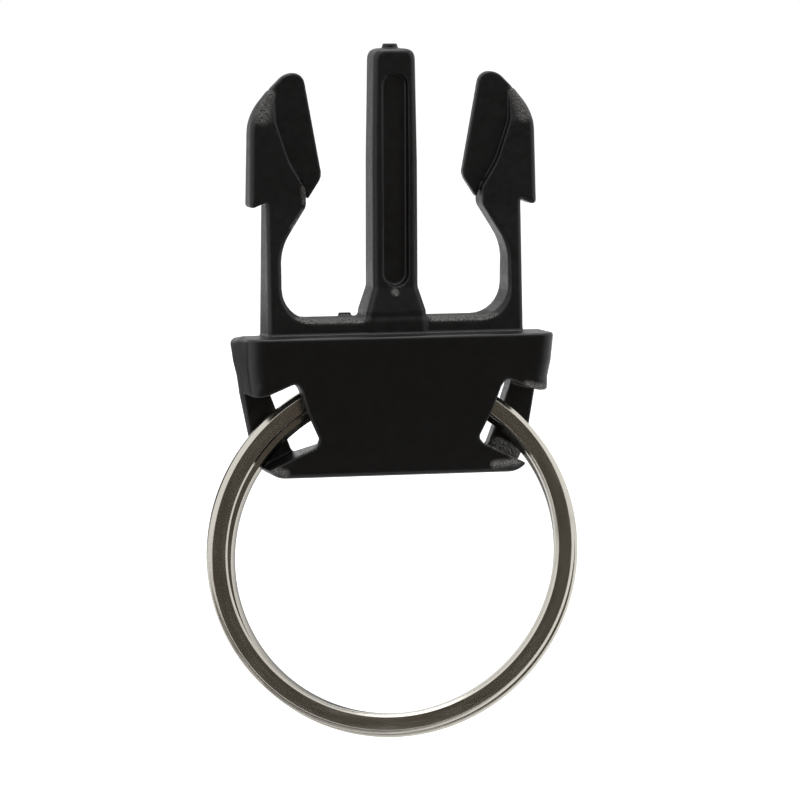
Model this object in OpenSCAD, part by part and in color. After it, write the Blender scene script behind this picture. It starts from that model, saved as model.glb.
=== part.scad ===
// Belt key clip: the male half of a side-release buckle that carries a split ring.
// +Z runs up along the latch arms, +X to the right and the show face looks along -Y.
// The origin is the middle of the shoulder plane, which stops against the female half.

/* [Shoulder hood] */
// Width across the shoulder plane, mm
shoulder_w = 25.8; // [24:0.1:28]
// Thickness front to back at the shoulder plane, mm
shoulder_t = 9; // [8.4:0.1:10]
// Height of the hood below the shoulder plane, mm
hood_h = 4.8; // [4.4:0.1:5.4]
// Width across the hood's lower lip, mm
lip_w = 25.2; // [24:0.1:27]
// Thickness of the roof over the ring pocket, mm
roof_t = 1.9; // [1.8:0.1:2.4]

/* [Tail frame] */
// Height from the shoulder plane to the bottom of the end bar, mm
tail_h = 11.9; // [11.4:0.1:13]
// Width across the rails at their bend, mm
rail_span = 24.4; // [23.6:0.1:25]
// Height of the rails' bend above the bottom, mm
rail_bend_h = 3.4; // [2.8:0.1:4]
// Width across the end bar before its lower corners are rounded, mm
foot_span = 22.3; // [21.4:0.1:23]
// Distance of the front face from the middle plane at the bottom, mm
tail_front = 2.3; // [2.1:0.1:2.8]
// Distance of the rear face from the middle plane at the bottom, mm
tail_rear = 1.8; // [1.6:0.1:2.6]
// Width of the ring pocket between the rails, under the hood, mm
pocket_w = 21.4; // [20:0.1:21.8]
// Width of the ring pocket between the rails, at the end bar, mm
pocket_foot_w = 17.3; // [15.6:0.1:17.8]
// Height of the end bar at its middle, mm
bar_h = 2.5; // [2.1:0.1:3]

/* [Cover plate] */
// Width of the cover plate where it leaves the hood, mm
plate_w = 17.5; // [16.5:0.1:18]
// Width of the cover plate at its waist, mm
waist_w = 13.7; // [13:0.1:14.6]
// Height of the waist's flare onto the end bar, mm
flare_h = 0.55; // [0.4:0.05:0.8]

/* [Guide prong] */
// Height of the guide prong above the shoulder plane, mm
prong_h = 24.3; // [22:0.1:27]
// Width of the guide prong at its middle, mm
prong_w = 3.74; // [3.4:0.02:4]
// Width of the guide prong at its tip, mm
prong_tip_w = 3.44; // [3:0.02:3.6]
// Thickness of the guide prong at its tip, mm
prong_tip_t = 3; // [2.6:0.1:3.2]
// Width of the blind recess in each face of the guide prong, mm
recess_w = 2.2; // [1.8:0.05:2.4]
// Depth of the blind recess, mm
recess_d = 0.8; // [0.4:0.05:1]

/* [Latch arms] */
// Height of the arm heads above the shoulder plane, mm
arm_h = 22.2; // [20:0.1:24]
// Height of the latch barbs above the shoulder plane, mm
barb_z = 10.8; // [10:0.1:11.6]
// Width across the two latch barbs, mm
barb_span = 25.1; // [24.6:0.1:26]
// Width of an arm's head from barb to inner edge, mm
head_w = 6.45; // [6:0.05:6.8]
// Width across the outside of the two arm necks, mm
neck_span = 22.3; // [21.8:0.1:22.6]
// Width of an arm's neck, which is what bends, mm
neck_w = 1.2; // [1:0.05:1.4]
// Height of the bending line above the shoulder plane, mm
bend_z = 4.2; // [3.8:0.1:5]
// Thickness of the arms and their roots at the shoulder plane, mm
root_t = 3.9; // [3.4:0.1:4.2]
// Thickness of the arms at the barbs, mm
barb_t = 2.5; // [2.2:0.1:3]
// Thickness of the thin web inside an arm's head, mm
web_t = 0.9; // [0.7:0.05:1.1]

/* [Split ring] */
// Outer diameter of the split ring, mm
ring_od = 32.3; // [31:0.1:34]
// Width of the flat wire across the ring, mm
wire_w = 2.05; // [1.6:0.05:2.1]
// Thickness of the flat wire, mm
wire_t = 1; // [0.8:0.05:1.1]
// Radius of the wire's rounded edges, mm
wire_edge_r = 0.38; // [0.2:0.02:0.4]
// Sideways offset between the two turns of the wire, mm
turn_offset = 0.35; // [0:0.05:0.5]

/* [Fits] */
// Gap between the ring and the rails behind it, mm
ring_back_gap = 0.15; // [0.1:0.05:0.3]
// Gap between the ring and the plate in front of it, mm
ring_front_gap = 0.26; // [0.15:0.01:0.4]
// Gap between the top of the ring and the pocket's roof, mm
ring_top_gap = 0.65; // [0.3:0.05:0.8]
// Gap round the foot of an arm in its rounded seat, mm
bend_gap = 0.05; // [0.04:0.01:0.08]
// Gap between the two turns of the wire, mm
turn_gap = 0.04; // [0.03:0.01:0.06]

/* [Hidden] */

// Facets of true round faces
$fn = 96;
// Straight steps in each rounded corner of an outline
corner_steps = 5;
// Overrun of every cut past the face it opens
cut = 1;
plastic = [0.07, 0.07, 0.075];
nickel = [0.78, 0.76, 0.71];

// Front and rear faces of the tail: the rear one runs in faster over the hood
hood_slope = 0.42;
hood_rear = shoulder_t / 2 - hood_slope * hood_h;
rail_front_y = 0.5;
plate_back_y = rail_front_y - ring_back_gap - 2 * wire_t - turn_gap - ring_front_gap;
shoulder_edge_r = 0.45;
shoulder_round = 0.3;

// Tail outline and the roof line of its end bar, which falls away to both sides
bar_top_z = bar_h - tail_h;
bar_ledge = 0.5;
bar_shoulder_x = waist_w / 2 + bar_ledge;
bar_fall = 0.48;
tail_corner_r = 1.5;

// Window beside the cover plate, from the hood's lower lip upwards
window_rise = 1;
window_lean = 0.5;
window_r = 0.5;
window_end_rise = 0.25;
window_end_r = 0.12;
window_edge = 0.95;

// Roots of the arms, with the floor of the gap beside the guide prong
neck_r = neck_w / 2;
neck_x = neck_span / 2 - neck_r;
neck_inner_x = neck_span / 2 - neck_w;
gap_floor_z = 1.35;
gap_corner_r = 2.6;
gap_edge = 0.3;

// Foot, recess and tip of the guide prong
foot_flare = 0.75;
foot_step = 0.25;
foot_w = prong_w + 2 * foot_flare;
foot_t = root_t - 2 * foot_step;
foot_z = 1.95;
foot_top_z = 4;
foot_r = 0.4;
foot_top_r = 0.5;
prong_taper_z = prong_h * 3 / 5;
prong_round = 0.8;
tip_round = 0.5;
recess_bottom_z = 4.05;
recess_margin = 2.2;
nub_w = 1.3;
nub_h = 0.25;

// Lead-in ramps on the faces of the arms, measured down from the top
ramp_h = 4.3;
ramp_end_h = 1.25;
ramp_t = 2.1;
ramp_z = arm_h - ramp_h;
ramp_end_z = arm_h - ramp_end_h;

// The wire's two turns and the step between them
wire_r = (ring_od - wire_w) / 2;
ring_z = -roof_t - ring_top_gap - ring_od / 2;
turn_pitch = wire_t + turn_gap;
rear_turn_y = rail_front_y - ring_back_gap - wire_t / 2;
front_turn_y = rear_turn_y - turn_pitch;
step_from = 84;
step_angle = 11;
step_lap = 0.6;
step_inset = 0.02;
step_rings = 15;
end_angle = 0.8;

// Rim of an arm's head as shares of head_w and of its height above the barb:
// distance from the inner edge, height above the barb's tip, corner radius
rim_share = [
    [0.770, 0.046, 0.02],
    [1.000, 0.000, 0.015],
    [0.974, 0.700, 0.45],
    [0.682, 0.894, 0.05],
    [0.639, 0.828, 0.08],
    [0.639, 0.626, 0.30],
    [0.465, 0.335, 0.90],
    [0.270, 0.137, 0.08],
    [0.264, 0.018, 0.15]];
// Height on the neck where the head's inner flank would meet it, and its blend
flank_share = [-0.280, 0.70];
// Thin web of an arm's head, in the same shares
web_share = [
    [0.682, 0.890, 0],
    [0.510, 0.978, 0.25],
    [0.256, 1.014, 0.16],
    [-0.018, 0.225, 0.18],
    [0.200, 0.058, 0],
    [0.285, 0.190, 0],
    [0.450, 0.220, 0],
    [0.750, 0.500, 0]];

function unit(v) = v / norm(v);

// Arc that rounds the corner b between a and c with radius r, as points
function corner_arc(a, b, c, r) =
    let (u = unit(a - b), v = unit(c - b),
         half = acos(u * v) / 2,
         p = b + u * (r / tan(half)),
         middle = b + unit(u + v) * (r / sin(half)),
         start = atan2(p.y - middle.y, p.x - middle.x),
         side = sign(cross(b - a, c - b)),
         turn = side * (180 - 2 * half))
    [for (i = [0 : corner_steps])
        middle + r * [cos(start + turn * i / corner_steps), sin(start + turn * i / corner_steps)]];

// Outline from corners [x, z, radius]; a radius of 0 leaves the corner sharp
function rounded(corners) =
    let (n = len(corners))
    [for (i = [0 : n - 1])
        let (a = corners[(i + n - 1) % n], b = corners[i], c = corners[(i + 1) % n])
        each (b.z > 0
            ? corner_arc([a.x, a.y], [b.x, b.y], [c.x, c.y], b.z)
            : [[b.x, b.y]])];

// Corners of one half of an outline, followed by those of its mirror image
function mirrored(corners) =
    [each corners,
     for (i = [len(corners) - 1 : -1 : 0]) [-corners[i].x, corners[i].y, corners[i].z]];

// An outline in X and Z, extruded from y_front back to y_rear
module front_slab(corners, y_front, y_rear) {
    translate([0, y_rear, 0])
        rotate([90, 0, 0])
            linear_extrude(height = y_rear - y_front)
                polygon(rounded(corners));
}

// An outline in Y and Z, extruded to both sides of X = 0
module side_slab(corners, half_w) {
    translate([-half_w, 0, 0])
        rotate([90, 0, 90])
            linear_extrude(height = 2 * half_w)
                polygon(rounded(corners));
}

// Wedge that the hood, the plate, the rails and the end bar are all cut from
module tail_wedge() {
    intersection() {
        front_slab(mirrored([
            [shoulder_w / 2, 0, shoulder_edge_r],
            [lip_w / 2, -hood_h, 0],
            [rail_span / 2, rail_bend_h - tail_h, 0],
            [foot_span / 2, -tail_h, tail_corner_r]]),
            -shoulder_t, shoulder_t);
        side_slab([
            [-shoulder_t / 2, 0, shoulder_round],
            [shoulder_t / 2, 0, shoulder_round],
            [hood_rear, -hood_h, 0],
            [tail_rear, -tail_h, shoulder_round],
            [-tail_front, -tail_h, shoulder_round]],
            shoulder_w);
    }
}

// Space between the rails, from the pocket's roof down past the bar's top
module pocket(y_front) {
    front_slab([
        [-pocket_w / 2, -roof_t, 0],
        [pocket_w / 2, -roof_t, 0],
        [pocket_w / 2, -hood_h, 0],
        [pocket_foot_w / 2, bar_top_z - cut, 0],
        [-pocket_foot_w / 2, bar_top_z - cut, 0],
        [-pocket_w / 2, -hood_h, 0]],
        y_front, shoulder_t);
}

// Everything between the hood's lower lip and the roof line of the end bar
module above_bar(y_front, y_rear) {
    front_slab(mirrored([
        [shoulder_w, -hood_h, 0],
        [shoulder_w, bar_top_z - bar_fall * (shoulder_w - bar_shoulder_x), 0],
        [bar_shoulder_x, bar_top_z, 0]]),
        y_front, y_rear);
}

// Side profile shared by the arms and their roots
module arm_profile() {
    side_slab([
        [-root_t / 2, 0, 0],
        [root_t / 2, 0, 0],
        [barb_t / 2, barb_z, 0],
        [ramp_t / 2, ramp_z, 0],
        [web_t / 2, ramp_end_z, 0],
        [web_t / 2, arm_h, 0],
        [-web_t / 2, arm_h, 0],
        [-web_t / 2, ramp_end_z, 0],
        [-ramp_t / 2, ramp_z, 0],
        [-barb_t / 2, barb_z, 0]],
        barb_span);
}

// Root of the right arm, with its rounded seat and the floor beside the prong
module arm_root() {
    difference() {
        intersection() {
            front_slab([
                [foot_w / 2, 0, 0],
                [neck_span / 2, 0, 0],
                [neck_span / 2, bend_z, 0],
                [neck_inner_x, bend_z, 0],
                [neck_inner_x, gap_floor_z, gap_corner_r],
                [foot_w / 2, gap_floor_z, 0]],
                -root_t / 2, root_t / 2);
            arm_profile();
        }
        translate([neck_x, 0, bend_z])
            rotate([90, 0, 0])
                cylinder(r = neck_r + bend_gap, h = 2 * root_t, center = true);
        floor_chamfer();
    }
}

// Bevel along the front edge of the floor between an arm and the prong
module floor_chamfer() {
    translate([foot_w / 2 + gap_edge, -root_t / 2, gap_floor_z])
        rotate([45, 0, 0])
            translate([0, -gap_edge, -gap_edge])
                cube([neck_x - gap_corner_r - foot_w / 2, 2 * gap_edge, 2 * gap_edge]);
}

module hood() {
    color(plastic) {
        difference() {
            intersection() {
                tail_wedge();
                front_slab([
                    [-shoulder_w, -hood_h, 0],
                    [shoulder_w, -hood_h, 0],
                    [shoulder_w, cut, 0],
                    [-shoulder_w, cut, 0]],
                    -shoulder_t, shoulder_t);
            }
            pocket(plate_back_y);
            window_top();
            mirror([1, 0, 0])
                window_top();
        }
        arm_root();
        mirror([1, 0, 0])
            arm_root();
    }
}

// Upper end of the right window, cut through the hood's front wall
module window_top() {
    front_slab([
        [plate_w / 2, -hood_h - cut, 0],
        [plate_w / 2, -hood_h, 0],
        [plate_w / 2 + window_lean, window_rise - hood_h, window_r],
        [lip_w / 2 - window_edge, window_end_rise - hood_h, window_end_r],
        [lip_w / 2 - window_edge, -hood_h - cut, 0]],
        -shoulder_t, rail_front_y);
}

module cover_plate() {
    color(plastic)
        intersection() {
            tail_wedge();
            above_bar(-shoulder_t, plate_back_y);
            front_slab(mirrored([
                [plate_w / 2, -hood_h, 0],
                [waist_w / 2, bar_top_z + flare_h, flare_h],
                [bar_shoulder_x, bar_top_z - cut, 0]]),
                -shoulder_t, plate_back_y);
        }
}

// The right rail, behind the ring
module rail() {
    intersection() {
        difference() {
            tail_wedge();
            pocket(-shoulder_t);
        }
        above_bar(rail_front_y, shoulder_t);
        translate([0, -shoulder_t, -tail_h])
            cube([shoulder_w, 2 * shoulder_t, tail_h]);
    }
}

module right_rail() {
    color(plastic)
        rail();
}

module left_rail() {
    color(plastic)
        mirror([1, 0, 0])
            rail();
}

module end_bar() {
    color(plastic)
        difference() {
            intersection() {
                tail_wedge();
                front_slab([
                    [-shoulder_w, -tail_h - cut, 0],
                    [shoulder_w, -tail_h - cut, 0],
                    [shoulder_w, bar_top_z, 0],
                    [-shoulder_w, bar_top_z, 0]],
                    -shoulder_t, shoulder_t);
            }
            above_bar(-shoulder_t - cut, shoulder_t + cut);
        }
}

// Blind recess with round ends in the front face of the guide prong
module prong_recess() {
    for (end_z = [recess_bottom_z + recess_w / 2, prong_h - recess_margin - recess_w / 2])
        translate([0, 0, end_z])
            rotate([90, 0, 0])
                cylinder(d = recess_w, h = root_t);
    translate([-recess_w / 2, -root_t, recess_bottom_z + recess_w / 2])
        cube([recess_w, root_t, prong_h - recess_margin - recess_bottom_z - recess_w]);
}

module guide_prong() {
    recess_floor_y = foot_t / 2 - recess_d;
    color(plastic)
        difference() {
            intersection() {
                union() {
                    front_slab(mirrored([
                        [prong_tip_w / 2, prong_h, prong_round],
                        [prong_w / 2, prong_taper_z, 0],
                        [prong_w / 2, foot_top_z, foot_top_r],
                        [foot_w / 2, foot_z, foot_r],
                        [foot_w / 2, 0, 0]]),
                        -root_t, root_t);
                    translate([-nub_w / 2, -nub_w / 2, prong_h - nub_h])
                        cube([nub_w, nub_w, 2 * nub_h]);
                }
                side_slab(mirrored([
                    [nub_w / 2, prong_h + cut, 0],
                    [nub_w / 2, prong_h, 0],
                    [prong_tip_t / 2, prong_h, tip_round],
                    [foot_t / 2, foot_top_z, 0],
                    [root_t / 2, foot_z, 0],
                    [root_t / 2, 0, 0]]),
                    foot_w);
            }
            translate([0, -recess_floor_y, 0])
                prong_recess();
            mirror([0, 1, 0])
                translate([0, -recess_floor_y, 0])
                    prong_recess();
        }
}

// A point of the head's shares, placed on the right arm
function on_head(s) = [
    barb_span / 2 - head_w + s.x * head_w,
    barb_z + s.y * (arm_h - barb_z),
    s.z * head_w];

// The right latch arm: neck, barbed rim and thin web
module latch_arm() {
    flank_z = barb_z + flank_share.x * (arm_h - barb_z);
    intersection() {
        union() {
            front_slab([
                [neck_inner_x, bend_z, 0],
                [neck_span / 2, bend_z, 0],
                for (s = rim_share) on_head(s),
                [neck_inner_x, flank_z, flank_share.y * head_w]],
                -root_t / 2, root_t / 2);
            translate([neck_x, 0, bend_z])
                rotate([90, 0, 0])
                    cylinder(r = neck_r, h = root_t, center = true);
            front_slab([for (s = web_share) on_head(s)], -web_t / 2, web_t / 2);
        }
        arm_profile();
    }
}

module right_latch_arm() {
    color(plastic)
        latch_arm();
}

module left_latch_arm() {
    color(plastic)
        mirror([1, 0, 0])
            latch_arm();
}

// Section of the wire: across the ring, along the ring's axis, with round edges
function wire_section(inset) =
    let (x = wire_w / 2 - inset, y = wire_t / 2 - inset, r = wire_edge_r - inset)
    rounded([[-x, -y, r], [x, -y, r], [x, y, r], [-x, y, r]]);

// One flat turn of the wire between two angles about the ring's axis
module turn(x, y, from, to) {
    translate([x, y, ring_z])
        rotate([90, 0, 0])
            rotate([0, 0, from])
                rotate_extrude(angle = to - from)
                    translate([wire_r, 0])
                        polygon(wire_section(0));
}

// Centre of the wire on its way from the front turn to the rear one, t from 0 to 1
function ease(t) = t * t * (3 - 2 * t);
function step_x(t) = turn_offset * (ease(t) - 1 / 2);
function step_y(t) = front_turn_y + turn_pitch * ease(t);

// The short stretch where the wire steps from the front turn to the rear one,
// a hair slimmer than the wire and run a little way into both turns
module wire_step() {
    section = wire_section(step_inset);
    n = len(section);
    points = [for (i = [0 : step_rings])
        let (t = i / step_rings, a = step_from - step_lap + (step_angle + 2 * step_lap) * t)
        for (p = section)
            [step_x(t) + (wire_r + p.x) * cos(a), step_y(t) - p.y, ring_z + (wire_r + p.x) * sin(a)]];
    sides = [for (i = [0 : step_rings - 1], k = [0 : n - 1])
        let (a = i * n + k, b = i * n + (k + 1) % n)
        each [[a, b, a + n], [b, b + n, a + n]]];
    first = [for (k = [n - 1 : -1 : 0]) k];
    last = [for (k = [0 : n - 1]) step_rings * n + k];
    polyhedron(points = points, faces = concat(sides, [first], [last]));
}

module split_ring() {
    step_to = step_from + step_angle;
    color(nickel) {
        turn(step_x(0), step_y(0), step_to + end_angle, step_from + 360);
        wire_step();
        turn(step_x(1), step_y(1), step_to, step_from + 360 - end_angle);
    }
}

hood();
cover_plate();
left_rail();
right_rail();
end_bar();
guide_prong();
left_latch_arm();
right_latch_arm();
split_ring();
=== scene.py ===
# Looks of the belt key clip. The moulding is one rounded solid, meshed from its distance
# field and then cut into the members that the frame names. The ring is swept wire.
# Sizes are in millimetres in the frame's axes, and meshes are written in metres.
import math

import bmesh
import bpy
import numpy as np
from mathutils import Matrix, Vector


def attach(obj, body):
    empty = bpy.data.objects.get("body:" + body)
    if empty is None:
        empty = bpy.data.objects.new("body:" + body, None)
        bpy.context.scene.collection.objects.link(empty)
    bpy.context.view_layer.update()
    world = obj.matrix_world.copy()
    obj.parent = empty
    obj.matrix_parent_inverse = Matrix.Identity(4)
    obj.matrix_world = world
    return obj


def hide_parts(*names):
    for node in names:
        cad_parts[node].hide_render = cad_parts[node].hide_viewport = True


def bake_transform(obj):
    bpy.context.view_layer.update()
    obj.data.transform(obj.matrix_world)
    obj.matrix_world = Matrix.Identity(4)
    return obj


MM = 0.001
IMAGE_PX = 800

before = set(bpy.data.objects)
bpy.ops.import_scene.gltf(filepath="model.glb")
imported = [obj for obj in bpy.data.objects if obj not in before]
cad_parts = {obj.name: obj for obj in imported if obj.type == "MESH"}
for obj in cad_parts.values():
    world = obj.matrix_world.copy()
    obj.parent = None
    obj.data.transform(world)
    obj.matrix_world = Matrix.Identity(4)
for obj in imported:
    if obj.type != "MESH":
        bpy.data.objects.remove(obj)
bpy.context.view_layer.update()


# Sizes of the moulding, with the names and values that the part's source gives them
shoulder_w = 25.8
shoulder_t = 9.0
hood_h = 4.8
lip_w = 25.2
roof_t = 1.9
tail_h = 11.9
rail_span = 24.4
rail_bend_h = 3.4
foot_span = 22.3
tail_front = 2.3
tail_rear = 1.8
hood_slope = 0.42
pocket_w = 21.4
pocket_foot_w = 17.3
bar_h = 2.5
bar_ledge = 0.5
bar_fall = 0.48
plate_w = 17.5
waist_w = 13.7
rail_front_y = 0.5
plate_back_y = -1.95
prong_h = 24.3
prong_w = 3.74
prong_tip_w = 3.44
prong_tip_t = 3.0
foot_w = 5.24
foot_t = 3.4
foot_z = 1.95
foot_top_z = 4.0
foot_r = 0.4
foot_top_r = 0.5
recess_w = 2.2
recess_d = 0.8
recess_bottom_z = 4.05
recess_margin = 2.2
nub_w = 1.3
arm_h = 22.2
barb_z = 10.8
barb_span = 25.1
head_w = 6.45
neck_span = 22.3
neck_w = 1.2
bend_z = 4.2
root_t = 3.9
barb_t = 2.5
ramp_t = 2.1
ramp_h = 4.3
ramp_end_h = 1.25
web_t = 0.9
gap_floor_z = 1.35
gap_corner_r = 2.6

# Where the moulding's outline departs from the source's, to follow the photograph. The
# swells put back what the rounded upright edges take off the silhouette
swell = 0.15
hood_swell = 0.5
hood_middle_swell = 0.38
lip_swell = 0.28
lip_drop = 0.2
pocket_trim = 0.1
waist_swell = 0.1
prong_swell = 0.1
window_lean = 0.42
window_rise = 0.98
top_slope = 0.11
nub_x = -0.1
nub_h = 0.24
rim_from_z = 9
rim_fade = 3

# What only the photograph and the ring's swing ask for: a tab that the mould left on the
# gap's floor, a bevel along that floor, and one on the plate's rear edges
tab_x = -3.72
tab_y = 1.7
tab_w = 1.14
tab_t = 0.44
tab_top_z = 1.66
bevel_leg = 0.42
bevel_end_leg = 0.1
bevel_end_z = 4.5
plate_bevel = 0.85

# Radii of the moulding's edges and inner corners
pocket_r = 0.35
pocket_edge_r = 0.25
window_back_r = 0.12
window_edge_r = 0.18
comb_edge_r = 0.4
comb_root_r = 0.22
bevel_edge_r = 0.06
web_edge_r = 0.16
web_foot_r = 0.12
prong_edge_r = 0.55
prong_foot_r = 0.35
recess_floor_r = 0.25
recess_edge_r = 0.07
nub_r = 0.1

# Sizes of the ring, with the names and values that the part's source gives them
ring_od = 32.3
wire_w = 2.05
wire_t = 1.0
turn_gap = 0.04
ring_z = -18.7
rear_turn_y = -0.15
step_from = 84.0
step_angle = 11.0
end_angle = 0.8

# How the ring departs from the source: its front turn is narrower, the two turns are shifted
# apart in (x, z), and its radius is less upwards and downwards than sideways
front_wire_w = 1.7
front_shift = (-0.32, 0.15)
rear_shift = (0.28, -0.35)
flattening = 0.35

# Edges of the wire: its bevels, their radii, and the sections along its two turns
outer_chamfer = 0.34
front_chamfer = 0.22
rear_chamfer = 0.48
back_chamfer = 0.2
wire_back_r = 0.2
bore_edge_r = 0.08
face_edge_r = 0.15
wire_steps = 800

# Where the moulding is cut into its members, a seam's width clear of its own edges
seam = 0.04
lip_z = -hood_h - lip_drop
arm_cut_z = 2.0
arm_cut_x = 6.0
prong_cut_z = 2.2
bar_top_z = bar_h - tail_h
bar_shoulder_x = waist_w / 2 + bar_ledge


def rounded(corners, steps=8):
    """Closed outline of points from corners (u, v) or (u, v, radius)."""
    points = []
    for i, corner in enumerate(corners):
        here = np.array(corner[:2], float)
        if len(corner) == 2:
            points.append(here)
            continue
        before = np.array(corners[i - 1][:2], float) - here
        after = np.array(corners[(i + 1) % len(corners)][:2], float) - here
        before /= np.linalg.norm(before)
        after /= np.linalg.norm(after)
        half = math.acos(np.clip(before @ after, -1, 1)) / 2
        middle = here + (before + after) / np.linalg.norm(before + after) * corner[2] / math.sin(half)
        first = here + before * corner[2] / math.tan(half) - middle
        turn = math.pi - 2 * half
        if before[0] * after[1] - before[1] * after[0] > 0:
            turn = -turn
        for k in range(steps + 1):
            a = turn * k / steps
            points.append(middle + np.array([
                first[0] * math.cos(a) - first[1] * math.sin(a),
                first[0] * math.sin(a) + first[1] * math.cos(a)]))
    return points


def flat_distance(u, v, points):
    """Distance in a plane from (u, v) to a closed outline, negative inside it."""
    nearest = np.inf
    inside = np.zeros(np.broadcast(u, v).shape, bool)
    for (au, av), (bu, bv) in zip(points, points[1:] + points[:1]):
        du, dv = bu - au, bv - av
        along = np.clip(((u - au) * du + (v - av) * dv) / (du * du + dv * dv), 0, 1)
        nearest = np.minimum(nearest, (u - au - along * du) ** 2 + (v - av - along * dv) ** 2)
        if dv:
            inside ^= ((av > v) != (bv > v)) & (u < au + (v - av) * du / dv)
    return np.where(inside, -1, 1) * np.sqrt(nearest)


def both(a, b, r):
    """What lies in both solids, with the edge between them rounded by r."""
    return np.minimum(np.maximum(a, b), -r) + np.hypot(np.maximum(a + r, 0), np.maximum(b + r, 0))


def either(a, b, r):
    """The two solids together, with the inner corner between them filled by r."""
    return np.maximum(np.minimum(a, b), r) - np.hypot(np.maximum(r - a, 0), np.maximum(r - b, 0))


def less(a, b, r):
    """The first solid without the second, with the new edges rounded by r."""
    return both(a, -b, r)


def on_head(across, up, radius=None):
    """A corner of the right arm's head, from shares of its width and height."""
    x = barb_span / 2 - head_w + across * head_w
    z = barb_z + up * (arm_h - barb_z)
    return (x, z) if radius is None else (x, z, radius * head_w)


# Outlines of the right half, seen from the front. They run on to far where the shape goes on
far = 40.0
neck_inner_x = neck_span / 2 - neck_w - swell / 3
tail_outline = rounded([
    (-far, far), (shoulder_w / 2 + hood_swell, far), (shoulder_w / 2 + hood_swell, 0),
    (shoulder_w / 2 + hood_middle_swell, -hood_h / 2), (lip_w / 2 + lip_swell, lip_z, 0.25),
    (rail_span / 2 + swell / 2, rail_bend_h - tail_h), (foot_span / 2 + swell / 2, -tail_h - swell, 1.9),
    (-far, -tail_h - swell)])
pocket_outline = rounded([
    (-far, -roof_t), (pocket_w / 2 - pocket_trim, -roof_t, 0.6),
    (pocket_w / 2 - pocket_trim, -hood_h),
    (pocket_foot_w / 2 - pocket_trim, bar_top_z - 0.8, 0.6), (5.8, bar_top_z, 1.0),
    (-far, bar_top_z)])
window_outline = rounded([
    (plate_w / 2 + window_lean, window_rise - hood_h, 0.5), (lip_w / 2 - 1, lip_z + 0.15, 0.2),
    (lip_w / 2 - 0.45, lip_z + seam), (far, lip_z + seam),
    (far, bar_top_z - bar_fall * (far - bar_shoulder_x)), (bar_shoulder_x, bar_top_z, 0.1),
    (waist_w / 2 + waist_swell, bar_top_z + bar_ledge, 0.45), (8.1, -6.4),
    (plate_w / 2 - 0.03, -4.5)])
comb_outline = rounded([
    (-far, -1), (neck_span / 2, -1), (neck_span / 2, bend_z), (neck_span / 2, 11.0, 0.25),
    on_head(0.770, 0.042, 0.02), on_head(1.000, -0.013, 0.05), on_head(0.980, 0.690, 0.7),
    on_head(0.682, 0.894, 0.05), on_head(0.639, 0.828, 0.08), on_head(0.639, 0.626, 0.30),
    on_head(0.465, 0.335, 0.90), on_head(0.250, 0.137, 0.10), on_head(0.245, 0.008, 0.15),
    (neck_inner_x, barb_z - 0.30 * (arm_h - barb_z), 0.7 * head_w),
    (neck_inner_x, bend_z), (neck_inner_x, gap_floor_z + swell / 3, gap_corner_r),
    (-far, gap_floor_z + swell / 3)])
web_outline = rounded([
    on_head(0.690, 0.880), on_head(0.510, 0.980, 0.25), on_head(0.262, 1.016, 0.16),
    on_head(0.005, 0.225, 0.20), on_head(0.200, 0.055, 0.01), on_head(0.285, 0.190, 0.01),
    on_head(0.450, 0.220), on_head(0.750, 0.500)])
prong_outline = rounded([
    (-far, prong_h), (prong_tip_w / 2 + prong_swell, prong_h, 1.05),
    (prong_w / 2 + prong_swell, prong_h * 0.6),
    (prong_w / 2 + prong_swell, foot_top_z, foot_top_r), (foot_w / 2, foot_z, foot_r),
    (foot_w / 2, -1), (-far, -1)])

# Side profiles, front to back. The tail's runs on past its top and bottom, which other
# shapes cut, and the comb's and the prong's are halves, the same at the front and the back
front_slope = (shoulder_t / 2 - tail_front) / tail_h
tail_profile = rounded([
    (-shoulder_t / 2 - front_slope * far, far), (shoulder_t / 2, far), (shoulder_t / 2, -0.9, 1.5),
    (shoulder_t / 2 - hood_slope * hood_h + 0.1, -hood_h), (tail_rear + 0.15, rail_bend_h - tail_h),
    (tail_rear, -far), (-tail_front + front_slope * (far - tail_h), -far)])
comb_profile = rounded([
    (0, -1), (root_t / 2, -1), (root_t / 2, 0), (barb_t / 2, barb_z), (ramp_t / 2, arm_h - ramp_h, 3),
    (web_t / 2, arm_h - ramp_end_h), (web_t / 2, far), (-far, far), (-far, -1)])
prong_profile = rounded([
    (-far, prong_h), (prong_tip_t / 2, prong_h, 0.5), (foot_t / 2, foot_top_z, 1),
    (root_t / 2, foot_z, 0.5), (root_t / 2, -1), (-far, -1)])


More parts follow.
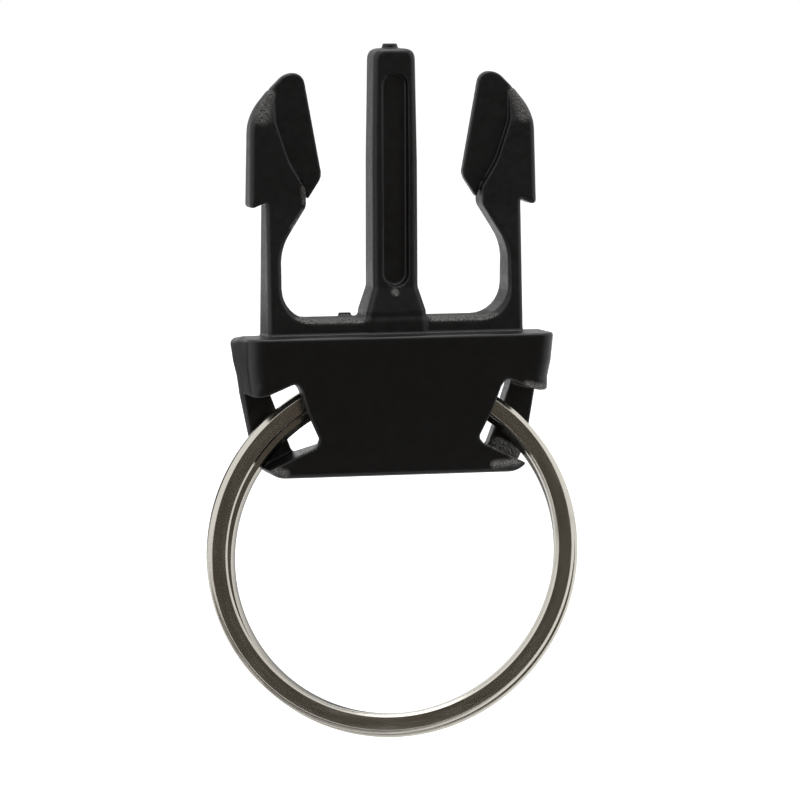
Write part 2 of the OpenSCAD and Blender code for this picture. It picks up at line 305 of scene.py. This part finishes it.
def moulding(x, y, z):
    """Distance from a point to the whole moulding, negative inside it."""
    side = np.abs(x)
    depth = np.abs(y)

    # The tail's upright edges are rounder on the hood than below it
    front_r = np.interp(z, [-tail_h, lip_z - 0.5, lip_z, lip_z + 1.2], [0.4, 0.4, 0.7, 1.5])
    rear_r = np.interp(z, [lip_z, lip_z + 1.5], [0.4, 1.2])
    tail = both(
        flat_distance(side, z, tail_outline), flat_distance(y, z, tail_profile),
        np.where(y < 0, front_r, rear_r))
    top_edge_r = np.interp(y, [-4, -2, 2, 4], [0.25, 0.4, 0.6, 0.6])
    tail = both(tail, z + top_slope * np.maximum(y, 0), top_edge_r)
    pocket = both(flat_distance(side, z, pocket_outline), plate_back_y - y, pocket_r)
    tail = less(tail, pocket, pocket_edge_r)

    # The plate's rear edges are bevelled where the ring passes them as it swings up
    bevelled = np.interp(z, [-8.8, -8, -6.2, -5.6], [0, 1, 1, 0])
    bevelled = bevelled * np.interp(y, [-2.6, plate_back_y, -1.2], [0, plate_bevel, 0])
    to_window = flat_distance(side, z, window_outline) - bevelled
    window = both(to_window, y - rail_front_y, window_back_r)
    tail = less(tail, window, window_edge_r)

    # The comb is the arms and the cross piece below them. Its rims have sharper inner edges
    to_side, to_face = flat_distance(side, z, comb_outline), flat_distance(depth, z, comb_profile)
    on_rim = np.clip((z - rim_from_z) / rim_fade, 0, 1)
    comb = both(to_side, to_face, comb_edge_r + on_rim * np.interp(side, [10.3, 11.3], [-0.26, 0.1]))

    # A bevel runs along the gap's floor at the front, and tapers up the necks
    leg = np.interp(z, [gap_floor_z, bevel_end_z], [bevel_leg, bevel_end_leg])
    bevel = np.where((y < 0) & (z < bevel_end_z), (to_side + to_face + leg) / math.sqrt(2), -1)
    bevel = np.minimum(bevel, np.minimum(side - foot_w / 2 - 0.3, (neck_span - neck_w) / 2 - side))
    comb = both(comb, bevel, bevel_edge_r)
    web = both(flat_distance(side, z, web_outline), depth - web_t / 2, web_edge_r)
    comb = either(comb, web, web_foot_r)

    prong = both(
        flat_distance(side, z, prong_outline), flat_distance(depth, z, prong_profile), prong_edge_r)
    bottom = recess_bottom_z + recess_w / 2
    top = prong_h - recess_margin - recess_w / 2
    recess = np.hypot(x, z - np.clip(z, bottom, top)) - recess_w / 2
    recess = both(recess, foot_t / 2 - recess_d - depth, recess_floor_r)
    prong = less(prong, recess, recess_edge_r)
    nub = both(np.hypot(x - nub_x, y) - nub_w / 2, np.abs(z - prong_h) - nub_h, nub_r)
    prong = either(prong, nub, nub_r)

    tab = np.maximum(np.abs(y - tab_y) - tab_t / 2, z - tab_top_z)
    tab = both(np.abs(x - tab_x) - tab_w / 2, tab, 0.06)
    comb = either(comb, np.maximum(tab, 1 - z), 0.05)

    comb = either(comb, prong, prong_foot_r)
    return either(tail, comb, comb_root_r)


def surface_net(field, low, high, step):
    """Closed quads on the field's zero level, one vertex in each cell that it crosses."""
    x, y, z = [np.arange(a, b + step, step) for a, b in zip(low, high)]
    value = field(x[:, None, None], y[None, :, None], z[None, None, :])
    cells = np.array(value.shape) - 1
    crossings, quads = [], []
    for axis in range(3):
        a = value[tuple(slice(None, -1) if k == axis else slice(None) for k in range(3))]
        b = value[tuple(slice(1, None) if k == axis else slice(None) for k in range(3))]
        at = np.argwhere((a < 0) != (b < 0))
        va, vb = a[tuple(at.T)], b[tuple(at.T)]
        point = at.astype(float)
        point[:, axis] += va / (va - vb)
        u, v = (axis + 1) % 3, (axis + 2) % 3
        ring = np.repeat(at[:, None, :], 4, axis=1)
        ring[:, 1:3, u] -= 1
        ring[:, 2:4, v] -= 1
        ring[va >= 0] = ring[va >= 0][:, ::-1]
        quads.append(np.ravel_multi_index(ring.reshape(-1, 3).T, cells).reshape(-1, 4))
        crossings.append(np.repeat(point, 4, axis=0))
    quads = np.concatenate(quads)
    index = np.unique(quads.ravel(), return_inverse=True)[1]
    crossings = np.concatenate(crossings)
    count = np.bincount(index)
    points = np.stack([np.bincount(index, crossings[:, k]) / count for k in range(3)], axis=1)
    return np.array(low) + points * step, index.reshape(-1, 4)


def gradient(field, p, h=0.02):
    """Unit normals of the field at points p."""
    n = np.zeros_like(p)
    for signs in ((1, -1, -1), (-1, -1, 1), (-1, 1, -1), (1, 1, 1)):
        s = np.array(signs, float)
        q = p + s * h
        n += field(q[:, 0], q[:, 1], q[:, 2])[:, None] * s
    return n / np.maximum(np.linalg.norm(n, axis=1, keepdims=True), 1e-9)


def quad_mesh(name, points, quads):
    """A mesh of quads, from points in millimetres."""
    mesh = bpy.data.meshes.new(name)
    mesh.vertices.add(len(points))
    mesh.vertices.foreach_set("co", (points * MM).astype(np.float32).ravel())
    mesh.loops.add(quads.size)
    mesh.loops.foreach_set("vertex_index", quads.astype(np.int32).ravel())
    mesh.polygons.add(len(quads))
    mesh.polygons.foreach_set("loop_start", np.arange(0, quads.size, quads.shape[1], dtype=np.int32))
    mesh.update(calc_edges=True)
    mesh.validate()
    return mesh


def member(c):
    """Name of the member that holds a face with centre c, in millimetres."""
    x, y, z = c
    hand = "left" if x < 0 else "right"
    if z > arm_cut_z and abs(x) > arm_cut_x:
        return hand + "_latch_arm"
    if z > prong_cut_z:
        return "guide_prong"
    if z > lip_z:
        return "hood"
    if z < seam + bar_top_z - bar_fall * max(0, abs(x) - bar_shoulder_x):
        return "end_bar"
    return "cover_plate" if y < (plate_back_y + rail_front_y) / 2 else hand + "_rail"


def cut_into_members(mesh):
    """Cuts the moulding's mesh along the planes between its members, and caps each one."""
    whole = bmesh.new()
    whole.from_mesh(mesh)
    fall = Vector((bar_fall, 0, 1)).normalized()
    level = (0, 0, 1)
    # How far from a plane, and how far past its side, faces are still cut by it
    reach, lap = 1, 0.2
    planes = [
        ((0, 0, lip_z), level, lambda c: abs(c.z - lip_z) < reach),
        ((0, 0, arm_cut_z), level,
         lambda c: abs(c.z - arm_cut_z) < reach and abs(c.x) > arm_cut_x),
        ((0, 0, prong_cut_z), level,
         lambda c: abs(c.z - prong_cut_z) < reach and abs(c.x) < arm_cut_x),
        ((0, 0, bar_top_z + seam), level,
         lambda c: abs(c.z - bar_top_z) < reach and abs(c.x) < bar_shoulder_x + lap),
        ((bar_shoulder_x, 0, bar_top_z + seam), (fall.x, 0, fall.z),
         lambda c: c.z < lip_z - reach and c.x > bar_shoulder_x - lap),
        ((-bar_shoulder_x, 0, bar_top_z + seam), (-fall.x, 0, fall.z),
         lambda c: c.z < lip_z - reach and c.x < lap - bar_shoulder_x)]
    for point, normal, near in planes:
        faces = [f for f in whole.faces if near(f.calc_center_median() / MM)]
        near_parts = set(faces)
        for f in faces:
            near_parts.update(f.edges)
            near_parts.update(f.verts)
        bmesh.ops.bisect_plane(
            whole, geom=list(near_parts), dist=1e-8, plane_co=Vector(point) * MM, plane_no=normal)
    whole.verts.index_update()
    groups = {}
    for f in whole.faces:
        groups.setdefault(member(f.calc_center_median() / MM), []).append(f)
    meshes = {}
    for name, faces in groups.items():
        part = bmesh.new()
        verts = {}
        for f in faces:
            for v in f.verts:
                if v.index not in verts:
                    verts[v.index] = part.verts.new(v.co)
            part.faces.new([verts[v.index] for v in f.verts])
        part.faces.ensure_lookup_table()
        skin = len(part.faces)
        bmesh.ops.holes_fill(part, edges=[e for e in part.edges if e.is_boundary], sides=0)
        part.faces.ensure_lookup_table()
        for cap in part.faces[skin:]:
            edge_side = cap.loops[0]
            if edge_side.link_loop_radial_next.vert == edge_side.vert:
                cap.normal_flip()
        made = bpy.data.meshes.new(name)
        part.to_mesh(made)
        part.free()
        made["skin_faces"] = skin
        meshes[name] = made
    whole.free()
    return meshes


def fade(distance, width=0.15):
    """1 inside a shape, 0 outside it, with a soft edge."""
    return np.clip(0.5 - distance / width, 0, 1)


def box_distance(u, v, middle, half):
    """Distance from (u, v) to a rectangle, from its middle and its half sides."""
    return np.maximum(np.abs(u - middle[0]) - half[0], np.abs(v - middle[1]) - half[1])


def stroke_distance(u, v, start, end, width):
    """Distance from (u, v) to a straight stroke with round ends."""
    du, dv = end[0] - start[0], end[1] - start[1]
    along = np.clip(((u - start[0]) * du + (v - start[1]) * dv) / (du * du + dv * dv), 0, 1)
    return np.hypot(u - start[0] - along * du, v - start[1] - along * dv) - width / 2


def scuffs_and_highlights(p, n):
    """Lightening at points p with normals n, from 0 up: real stipple and mould marks, painted highlights
    and painted light.
    """
    x, y, z = p.T
    side = np.abs(x)
    front = np.clip(-n[:, 1] * 3, 0, 1)
    to_left = np.clip(-n[:, 0] * 2 - 0.8, 0, 1)
    to_right = np.clip(n[:, 0] * 3, 0, 1)
    upward = np.clip((n[:, 2] - 0.35) * 4, 0, 1)
    on_top = np.clip(n[:, 2] * 3 - 0.5, 0, 1)
    on_faces = (np.abs(n[:, 1]) > 0.5) * 0.6
    marks = {
        # Stipple on the ramps, lightened partly as real stipple and partly as a painted highlight
        "ramps": fade(stroke_distance(side, z, (10.9, 20.5), (11.45, 18.5), 1.25), 0.5) * on_faces,
        # Painted light: the right rail's inner wall, lit from behind through the slit
        "right rail, inner wall": fade(box_distance(x, z, (9.6, -7.3), (1.4, 2.3)), 0.4) * to_left,
        # Stipple on the gap floor's bevel, with a painted highlight where it faces up and forwards
        "gap floor, bevel": fade(box_distance(side, z, (5.9, 1.15), (3.1, 0.4))) * upward * front,
        "gate": fade(np.hypot(x + 0.15, z - 3.5) - 0.3) * front,
        "left neck": fade(stroke_distance(x, z, (-8.1, 10.5), (-9.0, 9.2), 0.45)) * to_right,
        # Painted highlight on the left head's inner edge
        "left head, inner edge": fade(stroke_distance(x, z, (-8.0, 12.4), (-7.95, 11.2), 0.3)) * 0.5,
        # Painted highlight on the bar's left end
        "bar, left end": fade(
            stroke_distance(x, z, (-10.9, -11.25), (-9.9, -11.5), 0.5), 0.4) * front,
        # Painted highlight low on the bar's right end
        "bar, right end": fade(
            stroke_distance(x, z, (8.4, -11.3), (10.4, -11.15), 0.5), 0.4) * front * 1.5,
        # Painted highlight where the bar's top catches light from above, behind its right edge
        "bar, right behind the edge": fade(
            stroke_distance(x, z, (9.5, -9.9), (11.1, -10.8), 1.0), 0.4) * (y > -1.9) * 3,
        # Painted highlight along the bar's right top edge
        "bar, right top edge": fade(
            stroke_distance(x, z, (7.5, -9.46), (10.9, -11.1), 0.14), 0.12) * (y < -1.6) * 1.8,
        # Painted light on the left of the bar's top, where it faces up
        "bar, left top": fade(box_distance(x, z, (-7.4, -9.6), (0.9, 0.4))) * on_top,
        # Painted highlight on the lip's right, under the hood
        "lip, right": fade(
            stroke_distance(x, z, (10.9, -4.4), (12.3, -4.75), 0.45), 0.4) * front * 1.4}
    return np.max(list(marks.values()), axis=0)


def sharpness(field, p, h=0.12):
    """1 on outer edges of the moulding, 0 on its flat and hollow parts."""
    total = -6 * field(*p.T)
    for axis in range(3):
        for sign in (-h, h):
            q = p.copy()
            q[:, axis] += sign
            total += field(*q.T)
    return np.clip(total / (h * h) / 6, 0, 1)


def dress(mesh, field):
    """Exact normals from the field on the outer skin, and places and masks for the materials."""
    count = len(mesh.vertices)
    points = np.empty(count * 3, np.float32)
    mesh.vertices.foreach_get("co", points)
    points = points.reshape(-1, 3) / MM
    normals = gradient(field, points.astype(float))
    corner = np.empty(len(mesh.loops), np.int32)
    mesh.loops.foreach_get("vertex_index", corner)
    per_corner = normals[corner]
    for f in list(mesh.polygons)[mesh["skin_faces"]:]:
        per_corner[f.loop_start:f.loop_start + f.loop_total] = f.normal
    mesh.polygons.foreach_set("use_smooth", np.ones(len(mesh.polygons), bool))
    mesh.normals_split_custom_set(per_corner)
    rest = mesh.attributes.new("rest_mm", "FLOAT_VECTOR", "POINT")
    rest.data.foreach_set("vector", points.astype(np.float32).ravel())
    near_gap_floor = fade(np.abs(points[:, 2] - gap_floor_z) - 0.35, 0.3)
    masks = {
        "scuff_and_highlight": scuffs_and_highlights(points, normals), "edge": sharpness(field, points),
        "matt": near_gap_floor * np.clip(normals[:, 2] * 3 - 1, 0, 1)}
    for label, values in masks.items():
        mesh.attributes.new(label, "FLOAT", "POINT").data.foreach_set("value", values.astype(np.float32))


class Graph:
    """A material's node tree, with short calls for the few kinds of node used here."""

    def __init__(self, name):
        self.material = bpy.data.materials.new(name)
        self.material.use_nodes = True
        self.nodes = self.material.node_tree.nodes
        self.links = self.material.node_tree.links
        self.shader = self.nodes["Principled BSDF"]

    def node(self, kind, inputs=(), **settings):
        made = self.nodes.new(kind)
        for key, value in settings.items():
            setattr(made, key, value)
        for key, value in dict(inputs).items():
            if isinstance(value, bpy.types.NodeSocket):
                self.links.new(value, made.inputs[key])
            else:
                made.inputs[key].default_value = value
        return made

    def attribute(self, name, output="Fac"):
        return self.node("ShaderNodeAttribute", attribute_name=name).outputs[output]

    def stretched(self, vector, scale):
        return self.node("ShaderNodeVectorMath", {0: vector, 1: scale}, operation="MULTIPLY").outputs[0]

    def noise(self, vector, scale, detail=2.0):
        made = self.node("ShaderNodeTexNoise", {"Vector": vector, "Scale": scale, "Detail": detail})
        return made.outputs["Fac"]

    def ranged(self, value, low, high, to_low, to_high):
        made = self.node("ShaderNodeMapRange", {
            "Value": value, "From Min": low, "From Max": high, "To Min": to_low, "To Max": to_high})
        return made.outputs[0]

    def maths(self, operation, a, b):
        return self.node("ShaderNodeMath", {0: a, 1: b}, operation=operation).outputs[0]

    def mixed(self, factor, a, b):
        made = self.node("ShaderNodeMix", data_type="RGBA")
        for socket, value in zip((made.inputs[0], made.inputs[6], made.inputs[7]), (factor, a, b)):
            if isinstance(value, bpy.types.NodeSocket):
                self.links.new(value, socket)
            else:
                socket.default_value = value
        return made.outputs[2]

    def bump(self, height, distance, below=None):
        inputs = {"Height": height, "Distance": distance * MM, "Strength": 1.0}
        if below:
            inputs["Normal"] = below
        return self.node("ShaderNodeBump", inputs).outputs[0]

    def give(self, socket, value):
        if isinstance(value, bpy.types.NodeSocket):
            self.links.new(value, self.shader.inputs[socket])
        else:
            self.shader.inputs[socket].default_value = value


# Colours, as linear red, green, blue and alpha
black_low, black_high = (0.0034, 0.0031, 0.0033, 1), (0.0054, 0.0048, 0.0051, 1)
# Outer edges lighter: partly wear, partly a painted sheen
edge_wear_and_sheen = (0.020, 0.019, 0.019, 1)
# A grey for real stipple and scuffs, and for painted highlights and painted light
scuff_and_highlight_grey = (0.21, 0.204, 0.196, 1)
nickel_low, nickel_high = (0.60, 0.57, 0.50, 1), (0.69, 0.66, 0.60, 1)
# The bore's colours: painted shade
bore_shade_low, bore_shade_high = (0.10, 0.10, 0.095, 1), (0.46, 0.44, 0.41, 1)
white = (1, 1, 1, 1)


def plastic_material(name):
    """Black acetal: satin, faintly wavy from the mould, stippled and lightened where it has scuffs, with
    painted highlights and painted light in the same grey, and outer edges lighter with wear and a
    painted sheen.
    """
    g = Graph(name)
    place = g.attribute("rest_mm", "Vector")
    scuff_and_highlight = g.attribute("scuff_and_highlight")
    edge = g.attribute("edge")
    grain = g.noise(place, 11.0, 3.0)
    waves = g.noise(place, 0.45, 1.0)
    pits = g.node("ShaderNodeTexVoronoi", {"Vector": place, "Scale": 4.6}).outputs["Distance"]
    specks = g.ranged(g.noise(place, 7.5, 5.0), 0.42, 0.64, 0.25, 1.0)
    whitened_and_lit = g.maths("MULTIPLY", scuff_and_highlight, specks)

    black = g.mixed(waves, black_low, black_high)
    # Outer edges lighter: partly wear, partly a painted sheen
    with_edge_wear_and_sheen = g.mixed(g.maths("MULTIPLY", edge, grain), black, edge_wear_and_sheen)
    # Lightened by real stipple and scuffs, and by painted highlights and painted light
    g.give("Base Color", g.mixed(whitened_and_lit, with_edge_wear_and_sheen, scuff_and_highlight_grey))

    satin = g.ranged(g.noise(place, 1.7, 3.0), 0.3, 0.7, 0.32, 0.42)
    satin = g.maths("ADD", satin, g.maths("MULTIPLY", g.attribute("matt"), 0.28))
    g.give("Roughness", g.maths("SUBTRACT", satin, g.maths("MULTIPLY", scuff_and_highlight, 0.1)))
    g.give("IOR", 1.48)
    wavy = g.bump(waves, 0.05)
    grainy = g.bump(grain, 0.0035, wavy)
    g.give("Normal", g.bump(g.maths("MULTIPLY", scuff_and_highlight, pits), 0.12, grainy))
    return g.material


def nickel_material(name):
    """Bright nickel over drawn wire, with fine lines along it, and painted shade in the bore."""
    g = Graph(name)
    wire = g.attribute("wire_mm", "Vector")
    inwards = g.node("ShaderNodeSeparateXYZ", {0: wire}).outputs[2]
    lines = g.noise(g.stretched(wire, (0.06, 7.0, 0.0)), 1.0, 3.0)
    clouds = g.noise(g.stretched(wire, (0.25, 1.5, 0.0)), 1.0, 3.0)
    bright = g.mixed(clouds, nickel_low, nickel_high)
    # The bore is painted in shade
    painted_bore_shade = g.mixed(lines, bore_shade_low, bore_shade_high)
    bore = g.ranged(inwards, -0.78 * wire_w, -0.96 * wire_w, 0.0, 1.0)
    g.give("Base Color", g.mixed(bore, bright, painted_bore_shade))
    g.give("Metallic", 1.0)
    g.give("Roughness", g.ranged(clouds, 0.3, 0.7, 0.16, 0.27))
    g.give("Normal", g.bump(lines, 0.006))
    return g.material


# The moulding, meshed on a grid of cells that takes in all of it
plastics = {slot: plastic_material(slot) for slot in ("body_plastic", "arm_plastic")}
grid_low, grid_high, grid_step = (-13.4, -5, -12.4), (13.4, 5, 25.1), 0.13
points, quads = surface_net(moulding, grid_low, grid_high, grid_step)
meshes = cut_into_members(quad_mesh("moulding", points, quads))
for name, mesh in meshes.items():
    dress(mesh, moulding)
    mesh.materials.append(plastics["arm_plastic" if name.endswith("latch_arm") else "body_plastic"])
    piece = bpy.data.objects.new("clip_" + name, mesh)
    bpy.context.collection.objects.link(piece)
    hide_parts(name)
    if name.endswith("latch_arm"):
        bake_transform(piece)
    else:
        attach(piece, "buckle")


def ease(t):
    """From 0 to 1 as t goes from 0 to 1, with a level start and end."""
    t = np.clip(t, 0, 1)
    return t * t * (3 - 2 * t)


def wire_section(width, chamfer):
    """Outline of the wire: places inwards of its outer edge, as negatives, and forwards."""
    half = wire_t / 2
    return np.array(rounded([
        (back_chamfer - width, -half, bore_edge_r), (0, -half, wire_back_r),
        (0, half - outer_chamfer, face_edge_r), (-outer_chamfer, half, face_edge_r),
        (chamfer - width, half, bore_edge_r), (-width, half - chamfer, bore_edge_r),
        (-width, back_chamfer - half, bore_edge_r)], steps=4))


def split_ring():
    """The ring's mesh: the wire's section swept along both turns, with a step between them."""
    front = wire_section(front_wire_w, front_chamfer)
    rear = wire_section(wire_w, rear_chamfer)
    start = step_from + step_angle + end_angle
    stop = step_from + 720 - end_angle
    angle = np.radians(np.linspace(start, stop, wire_steps))
    share = ease((np.degrees(angle) - step_from - 360) / step_angle)
    centre_x = front_shift[0] + (rear_shift[0] - front_shift[0]) * share
    centre_z = ring_z + front_shift[1] + (rear_shift[1] - front_shift[1]) * share
    centre_y = rear_turn_y - (wire_t + turn_gap) * (1 - share)
    points, depth = [], []
    for a, cx, cy, cz, rear_share in zip(angle, centre_x, centre_y, centre_z, share):
        section = front + (rear - front) * rear_share
        reach = ring_od / 2 + section[:, 0]
        x = cx + reach * math.cos(a)
        z = cz + (reach - flattening) * math.sin(a)
        points.append(np.stack([x, cy - section[:, 1], z], axis=1))
        depth.append(section[:, 0])
    n = len(front)
    quads = []
    for i in range(len(angle) - 1):
        for k in range(n):
            quads.append((i * n + k, i * n + (k + 1) % n, (i + 1) * n + (k + 1) % n, (i + 1) * n + k))
    mesh = quad_mesh("split_ring", np.concatenate(points), np.array(quads))
    length = np.repeat(angle * (ring_od - wire_w) / 2, n)
    around = np.tile(np.cumsum(np.hypot(*(rear - np.roll(rear, 1, axis=0)).T)), len(angle))
    places = np.stack([length, around, np.concatenate(depth)], axis=1).astype(np.float32)
    mesh.attributes.new("wire_mm", "FLOAT_VECTOR", "POINT").data.foreach_set("vector", places.ravel())
    solid = bmesh.new()
    solid.from_mesh(mesh)
    bmesh.ops.holes_fill(solid, edges=[e for e in solid.edges if e.is_boundary], sides=0)
    bmesh.ops.recalc_face_normals(solid, faces=solid.faces)
    for f in solid.faces:
        f.smooth = len(f.verts) == 4
    solid.to_mesh(mesh)
    solid.free()
    return mesh


ring = bpy.data.objects.new("wire_ring", split_ring())
bpy.context.collection.objects.link(ring)
ring.data.materials.append(nickel_material("ring_nickel"))
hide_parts("split_ring")
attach(ring, "ring")


def place_camera():
    """Camera at the photograph's angle, from the left and a little above."""
    azimuth, elevation, roll = math.radians(-14.5), math.radians(5.5), math.radians(-0.19)
    aim = Vector((0.70, 0, -5.81)) * MM
    distance = 400 * MM
    px_per_mm = 11.72
    back = Vector((
        math.sin(azimuth) * math.cos(elevation), -math.cos(azimuth) * math.cos(elevation),
        math.sin(elevation)))
    level = Vector((math.cos(azimuth), math.sin(azimuth), 0))
    upright = back.cross(level)
    right = level * math.cos(roll) + upright * math.sin(roll)
    up = upright * math.cos(roll) - level * math.sin(roll)
    data = bpy.data.cameras.new("camera")
    data.sensor_width = 36
    data.lens = data.sensor_width * px_per_mm * distance / MM / IMAGE_PX
    data.clip_start, data.clip_end = 0.01, 20
    camera = bpy.data.objects.new("camera", data)
    bpy.context.collection.objects.link(camera)
    camera.matrix_world = Matrix((
        (right.x, up.x, back.x, aim.x + back.x * distance),
        (right.y, up.y, back.y, aim.y + back.y * distance),
        (right.z, up.z, back.z, aim.z + back.z * distance),
        (0, 0, 0, 1)))
    bpy.context.scene.camera = camera


def sheet(name, profile, half_w):
    """A sheet that runs straight across, along a profile of points (y, z) in metres."""
    mesh = bpy.data.meshes.new(name)
    points = [(x, y, z) for y, z in profile for x in (-half_w, half_w)]
    faces = [(2 * i, 2 * i + 1, 2 * i + 3, 2 * i + 2) for i in range(len(profile) - 1)]
    mesh.from_pydata(points, [], faces)
    obj = bpy.data.objects.new(name, mesh)
    bpy.context.collection.objects.link(obj)
    return obj


def seen_by_eye(nodes, links, in_gloss=1.0):
    """1 for camera and transmission rays, in_gloss for glossy rays, 0 for the rest."""
    path = nodes.new("ShaderNodeLightPath")
    seen = path.outputs["Is Camera Ray"]
    for kind, weight in (("Is Glossy Ray", in_gloss), ("Is Transmission Ray", 1.0)):
        weighed = nodes.new("ShaderNodeMath")
        weighed.operation = "MULTIPLY"
        links.new(path.outputs[kind], weighed.inputs[0])
        weighed.inputs[1].default_value = weight
        either_ray = nodes.new("ShaderNodeMath")
        either_ray.operation = "MAXIMUM"
        links.new(seen, either_ray.inputs[0])
        links.new(weighed.outputs[0], either_ray.inputs[1])
        seen = either_ray.outputs[0]
    return seen


def floor_material(colour, glow):
    """Pale matt floor, lifted to white for the camera, and less so in reflections."""
    material = bpy.data.materials.new("pale_floor")
    material.use_nodes = True
    nodes, links = material.node_tree.nodes, material.node_tree.links
    nodes.clear()
    out = nodes.new("ShaderNodeOutputMaterial")
    matt = nodes.new("ShaderNodeBsdfDiffuse")
    matt.inputs["Color"].default_value = (*colour, 1)
    light = nodes.new("ShaderNodeEmission")
    lift = nodes.new("ShaderNodeMath")
    lift.operation = "MULTIPLY"
    lift.inputs[1].default_value = glow
    add = nodes.new("ShaderNodeAddShader")
    links.new(seen_by_eye(nodes, links, in_gloss=0.3), lift.inputs[0])
    links.new(lift.outputs[0], light.inputs["Strength"])
    links.new(matt.outputs[0], add.inputs[0])
    links.new(light.outputs[0], add.inputs[1])
    links.new(add.outputs[0], out.inputs["Surface"])
    return material


def card_material(name, colour, patch=None):
    """A glowing card. With a patch (left, right, low, high), it fades to white outside of it."""
    g = Graph(name)
    g.nodes.remove(g.shader)
    light = g.node("ShaderNodeEmission", {"Color": (*colour, 1)})
    if patch:
        left, right, low, high = patch
        place = g.node("ShaderNodeSeparateXYZ", {0: g.node("ShaderNodeNewGeometry").outputs["Position"]})
        x, z = place.outputs[0], place.outputs[2]
        left_of = g.ranged(x, left, left - 0.018, 0.0, 1.0)
        right_of = g.ranged(x, right, right + 0.007, 0.0, 1.0)
        above = g.ranged(z, high, high + 0.007, 0.0, 1.0)
        below = g.ranged(z, low, low - 0.012, 0.0, 1.0)
        clear = g.maths("MAXIMUM", left_of, right_of)
        clear = g.maths("MAXIMUM", clear, above)
        clear = g.maths("MAXIMUM", clear, below)
        g.links.new(g.mixed(clear, (*colour, 1), white), light.inputs["Color"])
    g.links.new(light.outputs[0], g.nodes["Material Output"].inputs["Surface"])
    return g.material


def show_to_gloss_only(obj):
    """Hides a card from all but reflections."""
    obj.visible_camera = False
    obj.visible_diffuse = False
    obj.visible_transmission = False
    obj.visible_shadow = False


def make_stage():
    """Floor, cards, world and lamps, in metres. The floor lies clear below the object."""
    floor_z = -0.048
    floor = sheet("floor", [(-4, floor_z), (4, floor_z)], 4)
    floor.data.materials.append(floor_material((0.8, 0.8, 0.8), 0.65))

    # Dim cards lie in front, where the satin front faces reflect them
    low = floor_z + 0.002
    dim = card_material("dim_room", (0.082, 0.072, 0.060))
    for name, profile, half_w in (
            ("front_card", [(-0.030, low), (-0.16, low)], 0.12),
            ("far_card", [(-0.16, low), (-0.5, low), (-0.62, 0.0), (-0.62, 0.26)], 0.38),
            ("near_card", [(-0.002, low), (-0.012, low)], 0.38)):
        card = sheet(name, profile, half_w)
        card.data.materials.append(dim)
        show_to_gloss_only(card)
    # Faces that look up and back reflect a far wall, and the bottom edges a grey strip
    for name, profile, half_w, grey in (
            ("rear_wall", [(0.9, low), (0.9, 0.4)], 0.9, 0.6),
            ("ring_shade", [(-0.0022, low + 0.001), (0.0006, low + 0.001)], 0.02, 0.3)):
        card = sheet(name, profile, half_w)
        card.data.materials.append(card_material(name, (grey, grey, grey)))
        show_to_gloss_only(card)
    # The hood's left side reflects a dark card behind it, a painted shadow of the object on the ground
    # close behind it
    card = sheet("rear_shadow_card", [(0.024, low), (0.024, 0.004)], 0.052)
    patch = (-0.036, -0.018, -0.014, -0.003)
    card.data.materials.append(card_material("soft_shade", (0.06, 0.06, 0.06), patch))
    show_to_gloss_only(card)

    # The world lights the object at half strength, and is white to the camera and in gloss
    world = bpy.data.worlds.new("studio")
    bpy.context.scene.world = world
    world.use_nodes = True
    nodes, links = world.node_tree.nodes, world.node_tree.links
    fill = nodes.new("ShaderNodeMapRange")
    fill.inputs["To Min"].default_value = 0.5
    fill.inputs["To Max"].default_value = 1
    links.new(seen_by_eye(nodes, links), fill.inputs["Value"])
    links.new(fill.outputs[0], nodes["Background"].inputs["Strength"])
    nodes["Background"].inputs["Color"].default_value = white

    # Of the lamps, only the one overhead shows in reflections
    for name, at, size, watts in (
            ("top_box", (0.05, 0.02, 0.75), 0.55, 2.8),
            ("left_box", (-0.75, 0.1, 0.25), 0.5, 1.2),
            ("right_box", (0.75, 0.05, 0.25), 0.5, 1.2)):
        lamp = bpy.data.lights.new(name, "AREA")
        lamp.size = size
        lamp.energy = watts
        obj = bpy.data.objects.new(name, lamp)
        bpy.context.collection.objects.link(obj)
        obj.location = at
        obj.rotation_mode = "QUATERNION"
        obj.rotation_quaternion = Vector(at).to_track_quat("Z", "Y")
        obj.visible_glossy = name == "top_box"


place_camera()
make_stage()
bpy.context.scene.view_settings.view_transform = "Standard"
